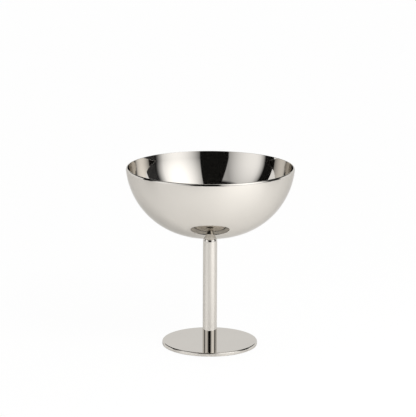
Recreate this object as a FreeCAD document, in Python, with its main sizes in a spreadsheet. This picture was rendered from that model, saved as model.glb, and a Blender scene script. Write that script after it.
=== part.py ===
# Stemmed ice cream cup in mirror-polished stainless steel.
# Three pieces: a deep-drawn bowl, a turned stem and a disc foot.
# Frame: +Z up, origin at the centre of the foot's underside, sizes in millimetres.

import FreeCAD, Part
import math
import os
import Sketcher

V = FreeCAD.Vector

# Driving dimensions: name, value and what it measures
SIZES = [
    ("rim_diameter", 100.0, "outside of the bowl at its mouth"),
    ("bowl_depth", 41.9, "rim down to the lowest point of the bowl's outside"),
    ("wall_thickness", 1.2, "steel of the bowl"),
    ("lip_outer_radius", 0.7, "rounding of the lip's outer edge"),
    ("lip_inner_radius", 0.25, "rounding of the lip's inner edge"),
    ("stem_length", 64.3, "top face of the foot up to the bowl's lowest point"),
    ("stem_diameter", 8.5, "turned bar between foot and bowl"),
    ("neck_diameter", 5.7, "reduced end of the stem that seats on the bowl"),
    ("neck_length", 0.5, "shoulder of the stem up to the bowl's lowest point"),
    ("tenon_diameter", 5.0, "spigot of the stem inside the foot"),
    ("tenon_clearance", 0.05, "radial gap round the tenon, which the weld fills"),
    ("foot_diameter", 57.0, "disc foot"),
    ("foot_thickness", 2.2, "disc foot"),
    ("foot_edge_radius", 0.4, "rounding of the foot's two outer edges"),
]
ANGLES = [
    ("base_angle", 11.0, "turn of the bowl's base arc, up to where its side arc takes over"),
    ("flare_angle", 5.2, "lean of the bowl's side away from upright, where its lip starts"),
]

# Largest share of a wall that one rounding may take
LIP_OUTER_SHARE = 0.6
LIP_INNER_SHARE = 0.3
FOOT_EDGE_SHARE = 0.4

# What follows from the driving dimensions: name, formula and what it is.
# Names end in out for a distance from the axis, and in up for a height above the ground.
# The bowl's outside is two tangent arcs, and both their radii follow from where it has to end:
# an arc's radius times its reach and rise is how far it goes outwards and upwards.
FORMULAS = [
    ("bowl_up", "foot_thickness + stem_length", "lowest point of the bowl's outside"),
    ("rim_up", "bowl_up + bowl_depth", "rim"),
    ("lip_outer", f"min(lip_outer_radius; {LIP_OUTER_SHARE} * wall_thickness)", "outer rounding"),
    ("lip_inner", f"min(lip_inner_radius; {LIP_INNER_SHARE} * wall_thickness)", "inner rounding"),
    ("lip_out", "rim_diameter / 2 - lip_outer", "centre of the outer rounding"),
    ("lip_up", "rim_up - lip_outer", "centre of the outer rounding"),
    ("base_reach", "sin(base_angle)", "base arc, outwards"),
    ("base_rise", "1 - cos(base_angle)", "base arc, upwards"),
    ("side_reach", "cos(flare_angle) - sin(base_angle)", "side arc, outwards"),
    ("side_rise", "cos(base_angle) - sin(flare_angle)", "side arc, upwards"),
    ("spread", "base_reach * side_rise - base_rise * side_reach", "divisor of the two radii"),
    ("lip_lift", "lip_up - bowl_up - lip_outer", "rise of both arcs, less the outer rounding"),
    ("base_bend", "(lip_out * side_rise - lip_lift * side_reach) / spread + lip_outer", "base arc"),
    ("side_bend", "(lip_lift * base_reach - lip_out * base_rise) / spread + lip_outer", "side arc"),
    ("base_centre_up", "bowl_up + base_bend", "centre of the base arc"),
    ("side_centre_out", "(base_bend - side_bend) * sin(base_angle)", "centre of the side arc"),
    ("side_centre_up", "base_centre_up - (base_bend - side_bend) * cos(base_angle)", "same"),
    ("join_out", "base_bend * base_reach", "where the side arc takes over"),
    ("join_up", "bowl_up + base_bend * base_rise", "same"),
    ("lip_start_out", "side_centre_out + side_bend * cos(flare_angle)", "start of the lip"),
    ("lip_start_up", "side_centre_up - side_bend * sin(flare_angle)", "same"),
    ("inner_base_bend", "base_bend - wall_thickness", "base arc of the inside"),
    ("inner_side_bend", "side_bend - wall_thickness", "side arc of the inside"),
    ("inner_bowl_up", "bowl_up + wall_thickness", "lowest point of the inside"),
    ("inner_join_out", "inner_base_bend * base_reach", "where the inside's side arc takes over"),
    ("inner_join_up", "inner_bowl_up + inner_base_bend * base_rise", "same"),
    ("inner_lip_up", "rim_up - lip_inner", "centre of the inner rounding"),
    ("inner_lip_drop", "side_centre_up - inner_lip_up", "it lies this far below the arc's centre"),
    ("inner_lip_arm", "sqrt((inner_side_bend + lip_inner)^2 - inner_lip_drop^2)", "and this far out"),
    ("inner_lip_out", "side_centre_out + inner_lip_arm", "centre of the inner rounding"),
    ("inner_part", "inner_side_bend / (inner_side_bend + lip_inner)", "share up to the inside"),
    ("inner_end_out", "side_centre_out + inner_part * inner_lip_arm", "end of the inner rounding"),
    ("inner_end_up", "side_centre_up - inner_part * inner_lip_drop", "same"),
    ("stem_out", "stem_diameter / 2", "bar"),
    ("neck_out", "neck_diameter / 2", "neck"),
    ("shoulder_up", "bowl_up - neck_length", "top of the shoulder"),
    ("shoulder_round", "stem_out - neck_out", "rounding of the shoulder"),
    ("shoulder_start_up", "shoulder_up - shoulder_round", "start of that rounding"),
    ("tenon_out", "tenon_diameter / 2", "tenon"),
    ("hole_out", "tenon_out + tenon_clearance", "hole for the tenon"),
    ("foot_out", "foot_diameter / 2", "disc"),
    ("foot_edge", f"min(foot_edge_radius; {FOOT_EDGE_SHARE} * foot_thickness)", "edge rounding"),
]
ON_AXIS = None
ON_GROUND = None

# Numbers by which a sketch knows the ends and centre of a curve, and its own origin and axes
START, END, CENTRE = 1, 2, 3
SKETCH_ORIGIN = (-1, 1)
GROUND_AXIS = -1
UPRIGHT_AXIS = -2

FULL_TURN = 360.0
EDGE_TOLERANCE = 1e-4
LINE = "line"


class Bend:
    """Arc in an outline, with its centre and radius by name."""

    def __init__(self, centre_out, centre_up, radius, clockwise=False):
        self.centre_out = centre_out
        self.centre_up = centre_up
        self.radius = radius
        self.clockwise = clockwise


BASE_OUTSIDE = Bend(ON_AXIS, "base_centre_up", "base_bend")
SIDE_OUTSIDE = Bend("side_centre_out", "side_centre_up", "side_bend")
LIP_OUTSIDE = Bend("lip_out", "lip_up", "lip_outer")
LIP_INSIDE = Bend("inner_lip_out", "inner_lip_up", "lip_inner")
SIDE_INSIDE = Bend("side_centre_out", "side_centre_up", "inner_side_bend", clockwise=True)
BASE_INSIDE = Bend(ON_AXIS, "base_centre_up", "inner_base_bend", clockwise=True)
SHOULDER = Bend("neck_out", "shoulder_start_up", "shoulder_round")


def make_sizes(doc):
    """Spreadsheet with the driving dimensions and what follows from them."""
    sheet = doc.addObject("Spreadsheet::Sheet", "Sizes")
    rows = [(name, str(size), note) for name, size, note in SIZES]
    rows += [(name, f"={angle} deg", note) for name, angle, note in ANGLES]
    rows += [(name, f"={formula}", note) for name, formula, note in FORMULAS]
    for row, (name, content, note) in enumerate(rows, start=1):
        sheet.set(f"A{row}", name)
        sheet.set(f"B{row}", content)
        sheet.set(f"C{row}", note)
        sheet.setAlias(f"B{row}", name)
        doc.recompute()
    return sheet


def present(doc, name):
    """Present value of a size, for the first shape of a sketch."""
    return float(doc.Sizes.get(name)) if name else 0.0


def make_body(doc, name):
    """Empty body whose label names the piece."""
    body = doc.addObject("PartDesign::Body", name)
    body.Label = name
    return body


def make_sketch(body, name, role):
    """Empty sketch on the body's own origin plane with the given role."""
    plane = next(item for item in body.Origin.OriginFeatures if item.Role == role)
    sketch = body.newObject("Sketcher::SketchObject", name)
    sketch.AttachmentSupport = [(plane, "")]
    sketch.MapMode = "FlatFace"
    return sketch


def bind(sketch, kind, *places, size):
    """Add a dimension to a sketch and tie it to a size of the sheet."""
    first_value = present(sketch.Document, size)
    index = sketch.addConstraint(Sketcher.Constraint(kind, *places, first_value))
    sketch.setExpression(f"Constraints[{index}]", f"Sizes.{size}")


def tie(sketch, kind, *places):
    """Add a geometric constraint to a sketch."""
    sketch.addConstraint(Sketcher.Constraint(kind, *places))


def place(sketch, curve, point, out, up):
    """Hold a point at a distance from the axis of revolution and a height above the ground."""
    if out is ON_AXIS:
        tie(sketch, "PointOnObject", curve, point, UPRIGHT_AXIS)
    else:
        bind(sketch, "DistanceX", *SKETCH_ORIGIN, curve, point, size=out)
    if up is ON_GROUND:
        tie(sketch, "PointOnObject", curve, point, GROUND_AXIS)
    else:
        bind(sketch, "DistanceY", *SKETCH_ORIGIN, curve, point, size=up)


def add_bend(sketch, start, end, bend):
    """Arc of an outline, with the numbers of its first and last point along the outline."""
    doc = sketch.Document
    centre = V(present(doc, bend.centre_out), present(doc, bend.centre_up), 0)
    ends = (end, start) if bend.clockwise else (start, end)
    turns = [math.atan2(point.y - centre.y, point.x - centre.x) for point in ends]
    circle = Part.Circle(centre, V(0, 0, 1), present(doc, bend.radius))
    curve = sketch.addGeometry(Part.ArcOfCircle(circle, *turns), False)
    bind(sketch, "Radius", curve, size=bend.radius)
    return (curve, END, START) if bend.clockwise else (curve, START, END)


def add_curve(sketch, start, end, kind):
    """One curve of an outline, with the numbers of its first and last point."""
    if kind == LINE:
        return sketch.addGeometry(Part.LineSegment(start, end), False), START, END
    return add_bend(sketch, start, end, kind)


def draw_outline(sketch, corners):
    """Closed outline. Each corner has its place and the curve that leaves it."""
    doc = sketch.Document
    points = [V(present(doc, out), present(doc, up), 0) for out, up, _ in corners]
    next_points = points[1:] + points[:1]
    kinds = [kind for _, _, kind in corners]
    curves = [add_curve(sketch, *ends) for ends in zip(points, next_points, kinds)]
    next_curves = curves[1:] + curves[:1]
    for (out, up, _), (curve, first, _) in zip(corners, curves):
        place(sketch, curve, first, out, up)
    for (curve, _, last), (next_curve, first, _) in zip(curves, next_curves):
        tie(sketch, "Coincident", curve, last, next_curve, first)


def revolve(body, kind, name, sketch):
    """Turn a closed profile all the way round the vertical axis."""
    feature = body.newObject(kind, name)
    feature.Profile = sketch
    feature.ReferenceAxis = (sketch, ["V_Axis"])
    feature.Angle = FULL_TURN
    body.Document.recompute()
    return feature


def must_shrink(before, after):
    """A cut that points away from the solid removes nothing and shows no error."""
    if after.Shape.Volume >= before.Shape.Volume:
        raise RuntimeError(f"{after.Name} removed nothing")


def ring_names(shape, radius, height):
    """Names of a shape's round edges with a radius, at a height."""
    names = []
    for number, edge in enumerate(shape.Edges, start=1):
        box = edge.BoundBox
        is_level = abs(box.ZMin - height) < EDGE_TOLERANCE and abs(box.ZMax - height) < EDGE_TOLERANCE
        if is_level and abs(box.XMax - radius) < EDGE_TOLERANCE:
            names.append(f"Edge{number}")
    if not names:
        raise RuntimeError(f"no round edge of radius {radius} at height {height}")
    return names


def round_edges(body, name, base, rings, size):
    """Fillet round edges of a feature, each given as radius and height."""
    names = []
    for radius, height in rings:
        names += ring_names(base.Shape, radius, height)
    feature = body.newObject("PartDesign::Fillet", name)
    feature.Base = (base, names)
    feature.setExpression("Radius", f"Sizes.{size}")
    body.Document.recompute()
    return feature


def make_bowl(doc):
    """Deep-drawn shell whose side flares up to a trimmed and rounded lip."""
    body = make_body(doc, "bowl")
    section = make_sketch(body, "bowl_section", "XZ_Plane")
    corners = [
        (ON_AXIS, "bowl_up", BASE_OUTSIDE),
        ("join_out", "join_up", SIDE_OUTSIDE),
        ("lip_start_out", "lip_start_up", LIP_OUTSIDE),
        ("lip_out", "rim_up", LINE),
        ("inner_lip_out", "rim_up", LIP_INSIDE),
        ("inner_end_out", "inner_end_up", SIDE_INSIDE),
        ("inner_join_out", "inner_join_up", BASE_INSIDE),
        (ON_AXIS, "inner_bowl_up", LINE),
    ]
    draw_outline(section, corners)
    revolve(body, "PartDesign::Revolution", "bowl_shell", section)
    return body


def make_stem(doc):
    """Turned bar with a tenon below and a rounded shoulder and neck under the bowl."""
    body = make_body(doc, "stem")
    profile = make_sketch(body, "stem_profile", "XZ_Plane")
    corners = [
        (ON_AXIS, ON_GROUND, LINE),
        ("tenon_out", ON_GROUND, LINE),
        ("tenon_out", "foot_thickness", LINE),
        ("stem_out", "foot_thickness", LINE),
        ("stem_out", "shoulder_start_up", SHOULDER),
        ("neck_out", "shoulder_up", LINE),
        ("neck_out", "join_up", LINE),
        (ON_AXIS, "join_up", LINE),
    ]
    draw_outline(profile, corners)
    bar = revolve(body, "PartDesign::Revolution", "stem_bar", profile)
    seat = make_sketch(body, "bowl_seat_profile", "XZ_Plane")
    bowl_base = [
        (ON_AXIS, "bowl_up", BASE_OUTSIDE),
        ("join_out", "join_up", LINE),
        (ON_AXIS, "join_up", LINE),
    ]
    draw_outline(seat, bowl_base)
    seated = revolve(body, "PartDesign::Groove", "bowl_seat", seat)
    must_shrink(bar, seated)
    return body


def make_foot(doc):
    """Flat disc with a centre hole for the tenon and softened edges."""
    body = make_body(doc, "foot")
    profile = make_sketch(body, "foot_profile", "XY_Plane")
    for size in ("foot_out", "hole_out"):
        circle = Part.Circle(V(0, 0, 0), V(0, 0, 1), present(doc, size))
        ring = profile.addGeometry(circle, False)
        tie(profile, "Coincident", ring, CENTRE, *SKETCH_ORIGIN)
        bind(profile, "Radius", ring, size=size)
    disc = body.newObject("PartDesign::Pad", "foot_disc")
    disc.Profile = profile
    disc.setExpression("Length", "Sizes.foot_thickness")
    doc.recompute()
    radius = present(doc, "foot_out")
    rings = [(radius, 0.0), (radius, present(doc, "foot_thickness"))]
    round_edges(body, "foot_edges", disc, rings, "foot_edge")
    return body


def check(doc, bodies):
    """Stop if a feature failed or a piece is not one sound solid."""
    for item in doc.Objects:
        if "Invalid" in item.State or "Error" in item.State:
            raise RuntimeError(f"{item.Name} failed: {item.State}")
    for body in bodies:
        shape = body.Shape
        if shape.isNull() or not shape.isValid() or len(shape.Solids) != 1:
            raise RuntimeError(f"{body.Label} is not one valid solid")


def main():
    doc = FreeCAD.newDocument("ice_cream_cup")
    make_sizes(doc)
    bodies = [make_bowl(doc), make_stem(doc), make_foot(doc)]
    for body in bodies:
        body.Placement = FreeCAD.Placement()
    doc.recompute()
    check(doc, bodies)
    os.makedirs("parts", exist_ok=True)
    for body in bodies:
        body.Shape.exportStep(f"parts/{body.Label}.step")
        box = body.Shape.BoundBox
        print(f"{body.Label}: {body.Shape.Volume:.1f} mm3, z {box.ZMin:.3f} to {box.ZMax:.3f}")


main()
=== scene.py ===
"""Stemmed ice cream cup in mirror-polished stainless steel, on a white studio table.

The cup is three turned forms: the pressed bowl, the stem bar and the disc foot.
Each is built by turning its outline about the upright axis, and carries the exact
normals of that outline, because a mirror shows every flat of a coarse mesh.
All lengths are in metres and all heights start at the underside of the foot.
"""

import math
from types import SimpleNamespace

import bpy
from bpy.props import FloatProperty, FloatVectorProperty, PointerProperty
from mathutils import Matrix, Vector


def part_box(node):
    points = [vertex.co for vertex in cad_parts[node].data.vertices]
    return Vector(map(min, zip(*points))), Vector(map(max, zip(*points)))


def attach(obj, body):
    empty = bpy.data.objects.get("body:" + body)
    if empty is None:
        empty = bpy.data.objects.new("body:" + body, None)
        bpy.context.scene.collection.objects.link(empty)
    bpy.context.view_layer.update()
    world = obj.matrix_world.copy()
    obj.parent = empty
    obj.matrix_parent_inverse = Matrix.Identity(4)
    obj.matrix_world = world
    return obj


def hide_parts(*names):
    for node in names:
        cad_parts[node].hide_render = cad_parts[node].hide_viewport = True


bl_info = {
    "name": "Stemmed ice cream cup",
    "version": (1, 0, 0),
    "blender": (4, 5, 0),
    "location": "3D View > Sidebar > Cup",
    "description": "Builds a stemmed steel ice cream cup and its studio",
    "category": "Add Mesh",
}

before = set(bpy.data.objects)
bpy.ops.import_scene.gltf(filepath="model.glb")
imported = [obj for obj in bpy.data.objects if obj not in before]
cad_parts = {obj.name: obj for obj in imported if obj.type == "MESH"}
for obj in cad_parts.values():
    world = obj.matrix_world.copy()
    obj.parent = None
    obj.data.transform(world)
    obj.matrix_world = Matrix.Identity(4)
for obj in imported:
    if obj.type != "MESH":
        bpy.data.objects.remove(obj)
BOWL_LOW, BOWL_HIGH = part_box("bowl")
STEM_LOW, STEM_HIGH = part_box("stem")
FOOT_LOW, FOOT_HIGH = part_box("foot")

MM = 0.001

# Facets once round the axis, and along each part of an outline
ROUND_STEPS = 256
SIDE_STEPS = 56
BASE_STEPS = 12
ROUNDING_STEPS = 10
WALL_STEPS = 24

# A corner nearer to the axis than this is a pole
POLE = 1e-7

# Steel: pitch and depth of the bundles of buffing lines, and size of the duller patches
LINE_PITCH = 0.9 * MM
LINE_DEPTH = 0.00015 * MM
PATCH_SIZE = 20 * MM

# Roughness where the polish is worst, as a multiple of the best
DULLEST = 2.2

# Table: a disc just under the foot, so that the two flat faces don't touch
TABLE_RADIUS = 4.0
TABLE_DROP = 0.1 * MM
TABLE_STEPS = 96
TABLE_RINGS = 8

# Share of plain white in the table, as the camera and as the steel see it
WHITE_TO_CAMERA = 0.93
WHITE_TO_STEEL = 0.1

# Cards of the studio: they stand round the middle of the bowl, at two distances
CARD_CENTRE = 0.09
CARD_COLUMNS = 48
CARD_ROWS = 24
ROOM_DISTANCE = 2.0
SOFTBOX_DISTANCE = 1.6

# Edges of the cards in degrees: bearings from the camera's side, and elevations
ROOM_LEFT, FRONT_LEFT, FRONT_RIGHT, BACK_RIGHT, BACK_LEFT = -102, -60, 60, 108, 258
CARD_FOOT, BACKDROP_TOP, BACK_DRAPE_TOP, DRAPE_TOP, OVERHEAD = -3, 19, 52, 57, 90

# Table lamp and camera, with the tilt up from looking straight down and the roll about the view
LAMP_SIZE = 0.16
LAMP_PLACE = (0.19, -0.23, 0.35)
CAMERA_PLACE = (-0.00132, -1.2477, 0.3630)
CAMERA_TILT = math.radians(77.362)
CAMERA_ROLL = math.radians(0.21)
CAMERA_LENS = 186.2
SENSOR_WIDTH = 36.0
CAMERA_REACH = (0.05, 30.0)


def linear(hex_colour):
    """Linear red, green, blue and alpha of an sRGB hex colour."""
    parts = [int(hex_colour[i:i + 2], 16) / 255 for i in (1, 3, 5)]
    return [p / 12.92 if p <= 0.04045 else ((p + 0.055) / 1.055) ** 2.4 for p in parts] + [1.0]


class CupSizes(bpy.types.PropertyGroup):
    """Sizes of the cup that a user would change."""
    rim_diameter: FloatProperty(
        name="Rim diameter", description="Outside of the bowl at its mouth",
        default=2 * BOWL_HIGH.x, unit="LENGTH", subtype="DISTANCE")
    rim_height: FloatProperty(
        name="Rim height", description="Top of the bowl's lip above the table",
        default=BOWL_HIGH.z, unit="LENGTH", subtype="DISTANCE")
    bowl_bottom: FloatProperty(
        name="Bowl bottom", description="Lowest point of the bowl above the table",
        default=BOWL_LOW.z, unit="LENGTH", subtype="DISTANCE")
    wall: FloatProperty(
        name="Wall", description="Thickness of the bowl's steel",
        default=1.2 * MM, unit="LENGTH", subtype="DISTANCE")
    shoulder_bend: FloatProperty(
        name="Shoulder rounding", description="Upper, tighter part of the stem's shoulder",
        default=1.0 * MM, unit="LENGTH", subtype="DISTANCE")
    shoulder_turn: FloatProperty(
        name="Shoulder turn", description="Slope of the shoulder where its two parts meet",
        default=math.radians(25.0), subtype="ANGLE")
    lip_outer: FloatProperty(
        name="Outer lip rounding", description="Upper, tighter part of the lip's outer edge",
        default=0.5 * MM, unit="LENGTH", subtype="DISTANCE")
    lip_ease: FloatProperty(
        name="Lip easing", description="Lower, slower part of the lip's outer edge",
        default=1.7 * MM, unit="LENGTH", subtype="DISTANCE")
    lip_turn: FloatProperty(
        name="Lip turn", description="Slope of the outer edge where its two parts meet",
        default=math.radians(35.0), subtype="ANGLE")
    lip_inner: FloatProperty(
        name="Inner lip rounding", description="Rounding of the lip's inner edge",
        default=0.12 * MM, unit="LENGTH", subtype="DISTANCE")
    base_angle: FloatProperty(
        name="Base angle", description="Turn of the flatter arc under the bowl",
        default=math.radians(12.0), subtype="ANGLE")
    flare_angle: FloatProperty(
        name="Flare angle", description="Lean of the bowl's outside at the lip",
        default=math.radians(5.8), subtype="ANGLE")
    inner_flare: FloatProperty(
        name="Inner flare", description="Lean of the bowl's inside at the lip, where the wall thins",
        default=math.radians(9.5), subtype="ANGLE")
    stem_diameter: FloatProperty(
        name="Stem diameter", description="Turned bar between foot and bowl",
        default=2 * STEM_HIGH.x, unit="LENGTH", subtype="DISTANCE")
    neck_diameter: FloatProperty(
        name="Neck diameter", description="Reduced end of the stem under the bowl",
        default=5.7 * MM, unit="LENGTH", subtype="DISTANCE")
    neck_length: FloatProperty(
        name="Neck length", description="Shoulder up to the bowl's lowest point",
        default=0.5 * MM, unit="LENGTH", subtype="DISTANCE")
    tenon_diameter: FloatProperty(
        name="Tenon diameter", description="Spigot of the stem inside the foot",
        default=5.0 * MM, unit="LENGTH", subtype="DISTANCE")
    tenon_gap: FloatProperty(
        name="Tenon gap", description="Ring of weld round the tenon",
        default=0.05 * MM, unit="LENGTH", subtype="DISTANCE")
    foot_diameter: FloatProperty(
        name="Foot diameter", description="Width across the disc foot",
        default=2 * FOOT_HIGH.x, unit="LENGTH", subtype="DISTANCE")
    foot_thickness: FloatProperty(
        name="Foot thickness", description="Height of the disc foot",
        default=FOOT_HIGH.z, unit="LENGTH", subtype="DISTANCE")
    foot_rim: FloatProperty(
        name="Foot rim", description="Rounding of the foot's upper edge",
        default=0.68 * MM, unit="LENGTH", subtype="DISTANCE")
    foot_edge: FloatProperty(
        name="Foot edge", description="Rounding of the foot's lower edge",
        default=0.4 * MM, unit="LENGTH", subtype="DISTANCE")


class CupFinish(bpy.types.PropertyGroup):
    """Colour and polish of the steel."""
    steel: FloatVectorProperty(
        name="Steel", description="Reflected colour of the polished steel",
        default=linear("#D7D3CD"), size=4, min=0, max=1, subtype="COLOR")
    steel_shade: FloatVectorProperty(
        name="Steel shade", description="Slightly duller colour between the buffed patches",
        default=linear("#D2CEC8"), size=4, min=0, max=1, subtype="COLOR")
    edge_tint: FloatVectorProperty(
        name="Edge tint",
        description="Tones down the mirror at a glancing angle, so that the outline shows on white",
        default=linear("#E2E1DF"), size=4, min=0, max=1, subtype="COLOR")
    roughness: FloatProperty(
        name="Roughness", description="Blur of the reflections where the polish is best",
        default=0.03, min=0, max=1, subtype="FACTOR")


class CupStudio(bpy.types.PropertyGroup):
    """Table, drapes and lights round the cup."""
    table: FloatVectorProperty(
        name="Table", description="Colour of the white table",
        default=linear("#F6F5F3"), size=4, min=0, max=1, subtype="COLOR")
    drape: FloatVectorProperty(
        name="Drape", description="Colour of the black cloth before and behind the set",
        default=linear("#1C1C1B"), size=4, min=0, max=1, subtype="COLOR")
    side_drape: FloatVectorProperty(
        name="Side drape", description="Colour of the dark cloth beside the key softbox and overhead",
        default=linear("#404040"), size=4, min=0, max=1, subtype="COLOR")
    ceiling: FloatVectorProperty(
        name="Ceiling", description="Colour of the room's ceiling",
        default=linear("#D6D5D2"), size=4, min=0, max=1, subtype="COLOR")
    key_light: FloatProperty(
        name="Key light", description="Brightness of the right-hand softbox before its lamp",
        default=1.8, min=0)
    fill_light: FloatProperty(
        name="Fill light", description="Brightness of the left-hand softbox before its lamp",
        default=1.21, min=0)
    table_light: FloatProperty(
        name="Table light", description="Power in watts of the small lamp over the table",
        default=0.82, min=0)
    room_light: FloatProperty(
        name="Room light", description="Brightness of the light from all round",
        default=0.92, min=0)


def eased_corner(reach, top, slow, tight, turn):
    """Centres of the slow arc and the tight arc that round a corner one after the other.

    The slow arc reaches out furthest where it is upright, and the tight one ends level at the top.
    They meet where the section has turned by the angle turn.
    """
    step = slow - tight
    tight_centre = (reach - slow + step * math.cos(turn), top - tight)
    slow_centre = (reach - slow, tight_centre[1] - step * math.sin(turn))
    return slow_centre, tight_centre


def bowl_outside(sizes):
    """Centres and radii of the arcs of the bowl's outside.

    A flatter base arc runs into a tighter side arc. Both radii follow from where the side
    has to end, which is the lower end of the lip's rounding.
    """
    base, flare = sizes.base_angle, sizes.flare_angle
    ease, lip = eased_corner(
        sizes.rim_diameter / 2, sizes.rim_height, sizes.lip_ease, sizes.lip_outer, sizes.lip_turn)
    end_out = ease[0] + sizes.lip_ease * math.cos(flare)
    end_up = ease[1] - sizes.lip_ease * math.sin(flare) - sizes.bowl_bottom
    base_reach, base_rise = math.sin(base), 1 - math.cos(base)
    side_reach = math.cos(flare) - math.sin(base)
    side_rise = math.cos(base) - math.sin(flare)
    spread = base_reach * side_rise - base_rise * side_reach
    base_bend = (end_out * side_rise - end_up * side_reach) / spread
    side_bend = (end_up * base_reach - end_out * base_rise) / spread
    base_centre = (0.0, sizes.bowl_bottom + base_bend)
    offset = base_bend - side_bend
    side_centre = (offset * base_reach, base_centre[1] - offset * math.cos(base))
    return SimpleNamespace(
        base_centre=base_centre, base_bend=base_bend, side_centre=side_centre, side_bend=side_bend,
        ease_centre=ease, lip_centre=lip)


def bowl_inside(sizes, outside):
    """Radii, ends and lip centre of the bowl's inside.

    It has the outside's two centres, and leaves its side arc for a short straight flare,
    so that the wall thins towards the lip.
    """
    lean_out, lean_up = math.sin(sizes.inner_flare), math.cos(sizes.inner_flare)
    side_out, side_up = outside.side_centre
    side_bend = outside.side_bend - sizes.wall
    lip_up = sizes.rim_height - sizes.lip_inner
    reach = side_bend + sizes.lip_inner
    climb = (lip_up - side_up + reach * lean_out) / lean_up
    lip_out = side_out + reach * lean_up + climb * lean_out
    return SimpleNamespace(
        base_bend=outside.base_bend - sizes.wall, side_bend=side_bend,
        flare_start=(side_out + side_bend * lean_up, side_up - side_bend * lean_out),
        flare_end=(lip_out - sizes.lip_inner * lean_up, lip_up + sizes.lip_inner * lean_out),
        lip_centre=(lip_out, lip_up))


def arc(centre, radius, start, end, steps, hollow=False):
    """Arc of an outline as points with normals, which point at the centre where it is hollow."""
    side = -1.0 if hollow else 1.0
    points = []
    for step in range(steps + 1):
        turn = start + (end - start) * step / steps
        out, up = math.cos(turn), math.sin(turn)
        points.append((centre[0] + radius * out, centre[1] + radius * up, side * out, side * up))
    return points


def line(start, end, steps=1):
    """Straight stretch of an outline, whose normals point to the right of its direction."""
    out, up = end[0] - start[0], end[1] - start[1]
    length = math.hypot(out, up)
    shares = [step / steps for step in range(steps + 1)]
    return [(start[0] + out * s, start[1] + up * s, up / length, -out / length) for s in shares]


def in_scene(name, data):
    """New object of the scene that shows a mesh, lamp or camera."""
    thing = bpy.data.objects.new(name, data)
    bpy.context.scene.collection.objects.link(thing)
    return thing


def turned(name, runs, steps=ROUND_STEPS):
    """Mesh object made by turning an outline of arcs and lines about the upright axis."""
    stations = [runs[0][0][:2]]
    spans = []
    for run in runs:
        for low, high in zip(run, run[1:]):
            spans.append((len(stations) - 1, len(stations), low[2:], high[2:]))
            stations.append(high[:2])
    if math.dist(stations[0], stations[-1]) < POLE:
        stations.pop()
    turns = [(math.cos(a), math.sin(a)) for a in (math.tau * j / steps for j in range(steps))]
    firsts, points = [], []
    for out, up in stations:
        firsts.append(len(points))
        ring = turns if out > POLE else [(0.0, 0.0)]
        points += [(out * c, out * s, up) for c, s in ring]
    faces, normals = [], []
    for low, high, low_normal, high_normal in spans:
        high %= len(stations)
        for j in range(steps):
            k = (j + 1) % steps
            ends = [(low, j, low_normal), (low, k, low_normal)]
            ends += [(high, k, high_normal), (high, j, high_normal)]
            if stations[low][0] <= POLE:
                ends.pop(1)
            elif stations[high][0] <= POLE:
                ends.pop(2)
            faces.append([firsts[i] + (t if stations[i][0] > POLE else 0) for i, t, _ in ends])
            normals += [(n[0] * turns[t][0], n[0] * turns[t][1], n[1]) for _, t, n in ends]
    mesh = bpy.data.meshes.new(name)
    mesh.from_pydata(points, [], faces)
    mesh.shade_smooth()
    mesh.normals_split_custom_set(normals)
    if mesh.validate():
        raise RuntimeError(f"the outline of {name} gives a faulty mesh")
    return in_scene(name, mesh)


def add_node(tree, kind, values=None, links=None, **settings):
    """Node with its settings, the plain values of its inputs, and the sockets linked to its inputs."""
    node = tree.nodes.new(kind)
    for name, setting in settings.items():
        setattr(node, name, setting)
    for socket, value in (values or {}).items():
        node.inputs[socket].default_value = value
    for socket, source in (links or {}).items():
        tree.links.new(source, node.inputs[socket])
    return node


def new_material(name):
    """Empty node material and the node tree in it."""
    material = bpy.data.materials.new(name)
    material.use_nodes = True
    material.node_tree.nodes.clear()
    return material, material.node_tree


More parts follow.
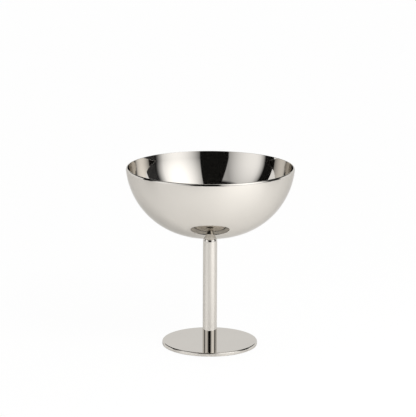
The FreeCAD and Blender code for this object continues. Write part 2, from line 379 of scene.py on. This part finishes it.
def mirror_polished_steel(name, finish, across, ripple_size, ripple_depth):
    """Mirror-polished stainless steel, buffed on a spindle.

    To the eye it is a slightly warm grey mirror. Its reflections are crisp, with edges that
    waver a little from the buffing, and under a strong light it shows hair-fine rings
    round the axis. across says how far a step outwards and a step upwards lead across the rings.
    """
    material, tree = new_material(name)
    place = add_node(tree, "ShaderNodeTexCoord").outputs["Object"]
    parts = add_node(tree, "ShaderNodeSeparateXYZ", links={0: place})
    flat = add_node(tree, "ShaderNodeCombineXYZ", links={0: parts.outputs[0], 1: parts.outputs[1]})
    out = add_node(tree, "ShaderNodeVectorMath", operation="LENGTH", links={0: flat.outputs[0]})
    outward = add_node(
        tree, "ShaderNodeMath", operation="MULTIPLY",
        values={1: across[0] / LINE_PITCH}, links={0: out.outputs["Value"]})
    station = add_node(
        tree, "ShaderNodeMath", operation="MULTIPLY_ADD",
        values={1: across[1] / LINE_PITCH}, links={0: parts.outputs[2], 2: outward.outputs[0]})
    # Buffing lines are under 0.02 mm wide. They are drawn wider, as bundles, so that they show.
    lines = add_node(
        tree, "ShaderNodeTexNoise", noise_dimensions="1D",
        values={"Scale": 1.0, "Detail": 2.0, "Roughness": 0.6}, links={"W": station.outputs[0]})
    # The ripple that hand buffing leaves in pressed steel
    ripple = add_node(
        tree, "ShaderNodeTexNoise",
        values={"Scale": 1 / ripple_size, "Detail": 1.0}, links={"Vector": place})
    # Duller patches, where the wheel pressed less
    patches = add_node(
        tree, "ShaderNodeTexNoise",
        values={"Scale": 1 / PATCH_SIZE, "Detail": 2.0}, links={"Vector": place})
    colour = add_node(
        tree, "ShaderNodeMix", data_type="RGBA",
        values={"A": finish.steel, "B": finish.steel_shade}, links={"Factor": patches.outputs["Fac"]})
    worn = add_node(
        tree, "ShaderNodeMath", operation="MULTIPLY",
        links={0: patches.outputs["Fac"], 1: lines.outputs["Fac"]})
    roughness = add_node(
        tree, "ShaderNodeMapRange",
        values={"From Min": 0.1, "From Max": 0.5,
                "To Min": finish.roughness, "To Max": DULLEST * finish.roughness},
        links={"Value": worn.outputs[0]})
    rippled = add_node(
        tree, "ShaderNodeBump", values={"Strength": 1.0, "Distance": ripple_depth},
        links={"Height": ripple.outputs["Fac"]})
    lined = add_node(
        tree, "ShaderNodeBump", values={"Strength": 1.0, "Distance": LINE_DEPTH},
        links={"Height": lines.outputs["Fac"], "Normal": rippled.outputs["Normal"]})
    steel = add_node(
        tree, "ShaderNodeBsdfPrincipled",
        values={"Metallic": 1.0, "Specular Tint": finish.edge_tint},
        links={"Base Color": colour.outputs["Result"], "Roughness": roughness.outputs[0],
               "Normal": lined.outputs["Normal"]})
    add_node(tree, "ShaderNodeOutputMaterial", links={"Surface": steel.outputs[0]})
    return material


def finish_piece(piece, node, material):
    """Give a piece its steel and let it stand for its node of the frame."""
    piece.data.materials.append(material)
    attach(piece, "root")
    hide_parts(node)


def mirrored_rays(tree, rays):
    """1 for the rays by which metal and glass show their surroundings, and 0 for others."""
    mirrored = add_node(
        tree, "ShaderNodeMath", operation="MAXIMUM",
        links={0: rays.outputs["Is Glossy Ray"], 1: rays.outputs["Is Transmission Ray"]})
    return mirrored.outputs[0]


def white_table(studio):
    """White laminate table under a satin clear coat, seen nearly burnt out.

    The camera sees most of it as plain white, and the rest as real shading, which keeps the
    cup's soft shadow. The steel sees mostly the shading, in which the coat mirrors the two
    softboxes and the gap between them: that draws the bright and dark lines along the stem.
    """
    material, tree = new_material("White_laminate_table")
    rays = add_node(tree, "ShaderNodeLightPath")
    shaded = add_node(
        tree, "ShaderNodeBsdfPrincipled",
        values={"Base Color": studio.table, "Roughness": 0.3, "IOR": 1.48})
    white = add_node(tree, "ShaderNodeEmission", values={"Color": linear("#FFFFFF"), "Strength": 1.0})
    for_steel = add_node(
        tree, "ShaderNodeMath", operation="MULTIPLY",
        values={1: WHITE_TO_STEEL}, links={0: mirrored_rays(tree, rays)})
    share = add_node(
        tree, "ShaderNodeMath", operation="MULTIPLY_ADD", values={1: WHITE_TO_CAMERA},
        links={0: rays.outputs["Is Camera Ray"], 2: for_steel.outputs[0]})
    both = add_node(
        tree, "ShaderNodeMixShader",
        links={0: share.outputs[0], 1: shaded.outputs[0], 2: white.outputs[0]})
    add_node(tree, "ShaderNodeOutputMaterial", links={"Surface": both.outputs[0]})
    return material


def matt_cloth(name, colour):
    """Matt surface of the room round the set, like molton cloth or ceiling paint, without shine.

    It takes its brightness from the room light and the softboxes.
    """
    material, tree = new_material(name)
    cloth = add_node(tree, "ShaderNodeBsdfDiffuse", values={"Color": colour})
    add_node(tree, "ShaderNodeOutputMaterial", links={"Surface": cloth.outputs[0]})
    return material


def edge_ramp(tree, source, stops):
    """Share of the light that passes from one edge of a card to the other, through stops."""
    node = add_node(tree, "ShaderNodeValToRGB", links={0: source})
    ramp = node.color_ramp
    while len(ramp.elements) < len(stops):
        ramp.elements.new(0.5)
    for element, (place, level) in zip(ramp.elements, stops):
        element.position = place
        element.color = (level, level, level, 1.0)
    return node.outputs[0]


def softbox_cloth(name, brightness, rim, lamp, reach, across, upward):
    """White nylon diffusion cloth of a softbox, which glows most before its lamp.

    Places on the card run from 0 to 1, from left to right and upwards. Away from the lamp's
    place the glow falls off to the rim's share over the reach, and the stops across and
    upward shape its edges.
    """
    material, tree = new_material(name)
    place = add_node(tree, "ShaderNodeUVMap", uv_map="card")
    parts = add_node(tree, "ShaderNodeSeparateXYZ", links={0: place.outputs[0]})
    offset = add_node(
        tree, "ShaderNodeVectorMath", operation="SUBTRACT",
        values={1: (*lamp, 0.0)}, links={0: place.outputs[0]})
    scaled = add_node(
        tree, "ShaderNodeVectorMath", operation="DIVIDE",
        values={1: (*reach, 1.0)}, links={0: offset.outputs[0]})
    squared = add_node(
        tree, "ShaderNodeVectorMath", operation="DOT_PRODUCT",
        links={0: scaled.outputs[0], 1: scaled.outputs[0]})
    fall_off = add_node(
        tree, "ShaderNodeMapRange",
        values={"To Min": brightness, "To Max": brightness * rim}, links={0: squared.outputs["Value"]})
    edges = add_node(
        tree, "ShaderNodeMath", operation="MULTIPLY",
        links={0: edge_ramp(tree, parts.outputs[0], across),
               1: edge_ramp(tree, parts.outputs[1], upward)})
    strength = add_node(
        tree, "ShaderNodeMath", operation="MULTIPLY", links={0: fall_off.outputs[0], 1: edges.outputs[0]})
    glow = add_node(tree, "ShaderNodeEmission", links={"Strength": strength.outputs[0]})
    add_node(tree, "ShaderNodeOutputMaterial", links={"Surface": glow.outputs[0]})
    return material


def studio_card(name, distance, low_sweep, high_sweep, height, material):
    """Curved card round the cup, between two elevations and between two bearings at each of them.

    Bearings are in degrees from the camera's side, positive to its right. The camera looks
    through the card, and the steel mirrors it.
    """
    points, places = [], []
    for row in range(CARD_ROWS + 1):
        v = row / CARD_ROWS
        up = math.radians(height[0] + (height[1] - height[0]) * v)
        out, level = distance * math.cos(up), CARD_CENTRE + distance * math.sin(up)
        left = low_sweep[0] + (high_sweep[0] - low_sweep[0]) * v
        right = low_sweep[1] + (high_sweep[1] - low_sweep[1]) * v
        for column in range(CARD_COLUMNS + 1):
            u = column / CARD_COLUMNS
            turn = math.radians(left + (right - left) * u)
            points.append((out * math.sin(turn), -out * math.cos(turn), level))
            places.append((u, v))
    wide = CARD_COLUMNS + 1
    firsts = [row * wide + column for row in range(CARD_ROWS) for column in range(CARD_COLUMNS)]
    faces = [(first, first + 1, first + wide + 1, first + wide) for first in firsts]
    mesh = bpy.data.meshes.new(name)
    mesh.from_pydata(points, [], faces)
    layer = mesh.uv_layers.new(name="card")
    for loop in mesh.loops:
        layer.data[loop.index].uv = places[loop.vertex_index]
    mesh.materials.append(material)
    card = in_scene(name, mesh)
    card.visible_camera = False
    return card


def room_card(name, sweep, height, cloth):
    """Card of the room round the set, which only the steel shows.

    It casts no shadow and gives no bounced light, so the table stays evenly lit.
    """
    card = studio_card(name, ROOM_DISTANCE, sweep, sweep, height, cloth)
    card.visible_diffuse = False
    card.visible_shadow = False


def drapes_and_ceiling(studio):
    """Dark cloths round and over the set, and the pale ceiling behind it."""
    black = matt_cloth("Black_molton_drape", studio.drape)
    grey = matt_cloth("Grey_side_drape", studio.side_drape)
    pale = matt_cloth("Pale_ceiling", studio.ceiling)
    upright = (CARD_FOOT, DRAPE_TOP)
    room_card("Drape_front", (FRONT_LEFT, FRONT_RIGHT), upright, black)
    room_card("Drape_left", (ROOM_LEFT, FRONT_LEFT), upright, black)
    room_card("Drape_right", (FRONT_RIGHT, BACK_RIGHT), upright, grey)
    room_card("Drape_back", (BACK_RIGHT, BACK_LEFT), (BACKDROP_TOP, BACK_DRAPE_TOP), black)
    room_card("Drape_over", (ROOM_LEFT, BACK_RIGHT), (DRAPE_TOP, OVERHEAD), grey)
    room_card("Ceiling", (BACK_RIGHT, BACK_LEFT), (BACK_DRAPE_TOP, OVERHEAD), pale)


def softboxes(studio):
    """Large key softbox on the right, and a lower fill softbox on the left."""
    key_cloth = softbox_cloth(
        "Key_diffusion_cloth", studio.key_light, rim=0.0, lamp=(0.51, 0.466), reach=(0.6, 0.77),
        across=[(0.0, 0.0), (0.015, 1.0), (0.8, 1.0), (0.9, 0.6), (0.97, 0.15), (1.0, 0.0)],
        upward=[(0.0, 1.0), (0.94, 1.0), (1.0, 0.0)])
    studio_card(
        "Key_softbox", SOFTBOX_DISTANCE, low_sweep=(14.5, 85), high_sweep=(13.5, 106),
        height=(CARD_FOOT, 85), material=key_cloth)
    fill_cloth = softbox_cloth(
        "Fill_diffusion_cloth", studio.fill_light, rim=0.37, lamp=(0.36, 0.18), reach=(0.62, 1.0),
        across=[(0.0, 0.0), (0.06, 0.5), (0.16, 0.92), (0.25, 1.0), (0.98, 1.0), (1.0, 0.0)],
        upward=[(0.0, 1.0), (0.92, 1.0), (1.0, 0.0)])
    studio_card(
        "Fill_softbox", SOFTBOX_DISTANCE, low_sweep=(-86, -27.2), high_sweep=(-86, -21.6),
        height=(CARD_FOOT, 47), material=fill_cloth)


def table_lamp(studio):
    """Small lamp over the table, in front of the cup to its right, which the steel doesn't mirror."""
    data = bpy.data.lights.new("Table_lamp", "AREA")
    data.shape = "DISK"
    data.size = LAMP_SIZE
    data.energy = studio.table_light
    lamp = in_scene("Table_lamp", data)
    lamp.location = LAMP_PLACE
    lamp.visible_glossy = False


def studio_world(studio):
    """White backdrop for the camera and the steel, and a plain light for everything else."""
    world = bpy.data.worlds.new("White_backdrop")
    world.use_nodes = True
    tree = world.node_tree
    tree.nodes.clear()
    rays = add_node(tree, "ShaderNodeLightPath")
    seen = add_node(
        tree, "ShaderNodeMath", operation="MAXIMUM",
        links={0: rays.outputs["Is Camera Ray"], 1: mirrored_rays(tree, rays)})
    plain = linear("#FFFFFF")
    light = add_node(
        tree, "ShaderNodeBackground", values={"Color": plain, "Strength": studio.room_light})
    white = add_node(tree, "ShaderNodeBackground", values={"Color": plain, "Strength": 1.0})
    both = add_node(
        tree, "ShaderNodeMixShader",
        links={0: seen.outputs[0], 1: light.outputs[0], 2: white.outputs[0]})
    add_node(tree, "ShaderNodeOutputWorld", links={"Surface": both.outputs[0]})
    bpy.context.scene.world = world


def studio_camera():
    """Long lens in front of the cup, looking slightly down at it."""
    data = bpy.data.cameras.new("Camera")
    data.sensor_fit = "HORIZONTAL"
    data.sensor_width = SENSOR_WIDTH
    data.lens = CAMERA_LENS
    data.clip_start, data.clip_end = CAMERA_REACH
    camera = in_scene("Camera", data)
    camera.location = CAMERA_PLACE
    camera.rotation_mode = "ZXY"
    camera.rotation_euler = (CAMERA_TILT, 0.0, CAMERA_ROLL)
    bpy.context.scene.camera = camera


class CUP_OT_bowl(bpy.types.Operator):
    """Pressed shell whose side flares up to a trimmed and rounded lip"""
    bl_idname = "cup.bowl"
    bl_label = "Bowl"

    def execute(self, context):
        sizes, finish = context.scene.cup_sizes, context.scene.cup_finish
        outside = bowl_outside(sizes)
        inside = bowl_inside(sizes, outside)
        down, up = -math.pi / 2, math.pi / 2
        join, flare = down + sizes.base_angle, -sizes.flare_angle
        inner_flare, turn, rim = sizes.inner_flare, sizes.lip_turn, sizes.rim_height
        base, side = outside.base_centre, outside.side_centre
        runs = [
            arc(base, outside.base_bend, down, join, BASE_STEPS),
            arc(side, outside.side_bend, join, flare, SIDE_STEPS),
            arc(outside.ease_centre, sizes.lip_ease, flare, turn, ROUNDING_STEPS),
            arc(outside.lip_centre, sizes.lip_outer, turn, up, ROUNDING_STEPS),
            line((outside.lip_centre[0], rim), (inside.lip_centre[0], rim)),
            arc(inside.lip_centre, sizes.lip_inner, up, math.pi - inner_flare, ROUNDING_STEPS),
            line(inside.flare_end, inside.flare_start),
            arc(side, inside.side_bend, -inner_flare, join, SIDE_STEPS, hollow=True),
            arc(base, inside.base_bend, join, down, BASE_STEPS, hollow=True),
        ]
        bowl = turned("Bowl", runs)
        steel = mirror_polished_steel(
            "Mirror_polished_stainless_bowl", finish, across=(0.7, 0.7),
            ripple_size=14 * MM, ripple_depth=0.006 * MM)
        finish_piece(bowl, "bowl", steel)
        return {"FINISHED"}


class CUP_OT_stem(bpy.types.Operator):
    """Turned bar with a tenon below and a rounded shoulder and neck under the bowl"""
    bl_idname = "cup.stem"
    bl_label = "Stem"

    def execute(self, context):
        sizes, finish = context.scene.cup_sizes, context.scene.cup_finish
        outside = bowl_outside(sizes)
        tenon, bar, neck = sizes.tenon_diameter / 2, sizes.stem_diameter / 2, sizes.neck_diameter / 2
        ledge, shoulder = sizes.foot_thickness, sizes.bowl_bottom - sizes.neck_length
        tight, turn = sizes.shoulder_bend, sizes.shoulder_turn
        slow = (bar - neck - tight * math.cos(turn)) / (1 - math.cos(turn))
        slow_centre, tight_centre = eased_corner(bar, shoulder, slow, tight, turn)
        base, bend = outside.base_centre, outside.base_bend
        seat_turn = -math.acos(neck / bend)
        seat = base[1] + bend * math.sin(seat_turn)
        runs = [
            line((0.0, 0.0), (tenon, 0.0)),
            line((tenon, 0.0), (tenon, ledge)),
            line((tenon, ledge), (bar, ledge)),
            line((bar, ledge), (bar, slow_centre[1]), WALL_STEPS),
            arc(slow_centre, slow, 0.0, turn, ROUNDING_STEPS),
            arc(tight_centre, tight, turn, math.pi / 2, ROUNDING_STEPS),
            line((neck, shoulder), (neck, seat)),
            arc(base, bend, seat_turn, -math.pi / 2, ROUNDING_STEPS, hollow=True),
        ]
        stem = turned("Stem", runs)
        steel = mirror_polished_steel(
            "Mirror_polished_stainless_bar", finish, across=(0.0, 1.0),
            ripple_size=9 * MM, ripple_depth=0.001 * MM)
        finish_piece(stem, "stem", steel)
        return {"FINISHED"}


class CUP_OT_foot(bpy.types.Operator):
    """Flat disc with softened edges and a centre hole for the stem's tenon"""
    bl_idname = "cup.foot"
    bl_label = "Foot"

    def execute(self, context):
        sizes, finish = context.scene.cup_sizes, context.scene.cup_finish
        hole, out = sizes.tenon_diameter / 2 + sizes.tenon_gap, sizes.foot_diameter / 2
        edge, rim, top = sizes.foot_edge, sizes.foot_rim, sizes.foot_thickness
        runs = [
            line((hole, 0.0), (out - edge, 0.0), WALL_STEPS),
            arc((out - edge, edge), edge, -math.pi / 2, 0.0, ROUNDING_STEPS),
            line((out, edge), (out, top - rim)),
            arc((out - rim, top - rim), rim, 0.0, math.pi / 2, ROUNDING_STEPS),
            line((out - rim, top), (hole, top), WALL_STEPS),
            line((hole, top), (hole, 0.0)),
        ]
        foot = turned("Foot", runs)
        steel = mirror_polished_steel(
            "Mirror_polished_stainless_disc", finish, across=(1.0, 0.0),
            ripple_size=16 * MM, ripple_depth=0.003 * MM)
        finish_piece(foot, "foot", steel)
        return {"FINISHED"}


class CUP_OT_studio(bpy.types.Operator):
    """White table, drapes, two softboxes, a table lamp, the backdrop and the camera"""
    bl_idname = "cup.studio"
    bl_label = "Studio"

    def execute(self, context):
        studio = context.scene.cup_studio
        top = line((TABLE_RADIUS, -TABLE_DROP), (0.0, -TABLE_DROP), TABLE_RINGS)
        table = turned("Table", [top], steps=TABLE_STEPS)
        table.data.materials.append(white_table(studio))
        drapes_and_ceiling(studio)
        softboxes(studio)
        table_lamp(studio)
        studio_world(studio)
        studio_camera()
        context.scene.view_settings.view_transform = "Standard"
        return {"FINISHED"}


OPERATORS = (CUP_OT_bowl, CUP_OT_stem, CUP_OT_foot, CUP_OT_studio)


class CUP_PT_panel(bpy.types.Panel):
    """Sizes, finish and the steps that build the cup"""
    bl_label = "Ice cream cup"
    bl_idname = "CUP_PT_panel"
    bl_space_type = "VIEW_3D"
    bl_region_type = "UI"
    bl_category = "Cup"

    def draw(self, context):
        scene = context.scene
        for group in (scene.cup_sizes, scene.cup_finish, scene.cup_studio):
            box = self.layout.box()
            for name in group.__annotations__:
                box.prop(group, name)
        for operator in OPERATORS:
            self.layout.operator(operator.bl_idname)


GROUPS = {"cup_sizes": CupSizes, "cup_finish": CupFinish, "cup_studio": CupStudio}


def register():
    """Register the classes and hang the three groups on the scene."""
    for kind in (*GROUPS.values(), *OPERATORS, CUP_PT_panel):
        bpy.utils.register_class(kind)
    for name, kind in GROUPS.items():
        setattr(bpy.types.Scene, name, PointerProperty(type=kind))


def unregister():
    """Take the groups and the classes away again."""
    for name in GROUPS:
        delattr(bpy.types.Scene, name)
    for kind in (CUP_PT_panel, *reversed(OPERATORS), *reversed(list(GROUPS.values()))):
        bpy.utils.unregister_class(kind)


def main():
    """Build the cup and its studio."""
    register()
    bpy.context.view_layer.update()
    bpy.ops.cup.bowl()
    bpy.ops.cup.stem()
    bpy.ops.cup.foot()
    bpy.ops.cup.studio()


if __name__ == "__main__":
    main()
